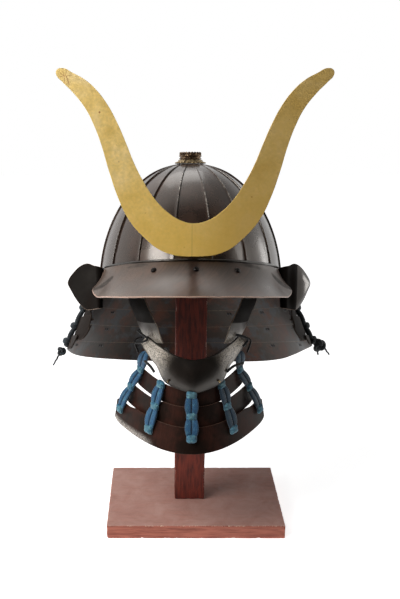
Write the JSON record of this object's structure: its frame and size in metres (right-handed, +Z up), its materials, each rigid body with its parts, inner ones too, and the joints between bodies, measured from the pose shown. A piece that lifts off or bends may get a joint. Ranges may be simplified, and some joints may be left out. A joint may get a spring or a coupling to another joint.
{
  "type": "kabuto samurai helmet with chin guard on a display stand",
  "caption": "Ribbed iron samurai helmet with horned front crest, peak, turned-back ear flaps, laced neck guard, chin guard and throat lames, on a wooden post stand.",
  "frame": {"origin": "underside of the stand's board, on the post's axis", "axes": "+Z up, -Y the way the helmet faces, +X to the helmet's left side"},
  "size_m": [0.3478, 0.3253, 0.5838],
  "materials": {
    "lacquered_iron": "black-brown lacquer over iron, glossy, rubbed along the ribs",
    "brown_lacquer": "dark brown lacquer, semi-gloss, worn at the edges",
    "gilt_brass": "matt gilt, slightly mottled",
    "aged_bronze": "aged, brown patina",
    "blue_silk": "braided silk, bright blue",
    "navy_silk": "braided silk, navy",
    "painted_wood": "matt red-brown paint, dusty on top",
    "black_iron": "black lacquered iron"
  },
  "bodies": {
    "root": {"stand_board": "painted_wood", "stand_post": "painted_wood", "stand_perch": "painted_wood", "chin_bracket": "black_iron", "bowl_plate_01": "lacquered_iron", "bowl_plate_02": "lacquered_iron", "bowl_plate_03": "lacquered_iron", "bowl_plate_04": "lacquered_iron", "bowl_plate_05": "lacquered_iron", "bowl_plate_06": "lacquered_iron", "bowl_plate_07": "lacquered_iron", "bowl_plate_08": "lacquered_iron", "bowl_plate_09": "lacquered_iron", "bowl_plate_10": "lacquered_iron", "bowl_plate_11": "lacquered_iron", "bowl_plate_12": "lacquered_iron", "bowl_plate_13": "lacquered_iron", "bowl_plate_14": "lacquered_iron", "bowl_plate_15": "lacquered_iron", "bowl_plate_16": "lacquered_iron", "brow_band": "lacquered_iron", "crown_washer": "aged_bronze", "crown_collar": "aged_bronze", "peak": "brown_lacquer", "peak_rivet_right": "black_iron", "peak_rivet_middle": "black_iron", "peak_rivet_left": "black_iron", "front_crest": "gilt_brass", "crest_hook": "black_iron", "neck_lame_1": "brown_lacquer", "neck_lame_2": "brown_lacquer", "neck_lame_3": "brown_lacquer", "neck_lame_4": "brown_lacquer", "neck_lace_1": "navy_silk", "neck_lace_2": "navy_silk", "neck_lace_3": "navy_silk", "neck_lace_4": "navy_silk", "neck_lace_5": "navy_silk", "neck_lace_6": "navy_silk", "neck_lace_7": "navy_silk", "neck_lace_8": "navy_silk", "neck_lace_9": "navy_silk", "chin_guard": "brown_lacquer", "cheek_plate_right": "brown_lacquer", "cheek_plate_left": "brown_lacquer", "cord_hook_right": "black_iron", "cord_hook_left": "black_iron", "throat_lame_1": "brown_lacquer", "throat_lame_2": "brown_lacquer", "throat_lame_3": "brown_lacquer", "throat_lace_1": "blue_silk", "throat_lace_2": "blue_silk", "throat_lace_3": "blue_silk", "throat_lace_4": "blue_silk", "throat_lace_5": "blue_silk", "lacing_tail_left": "navy_silk", "lacing_tail_right_a": "navy_silk", "lacing_tail_right_b": "navy_silk"}
  },
  "joints": []
}
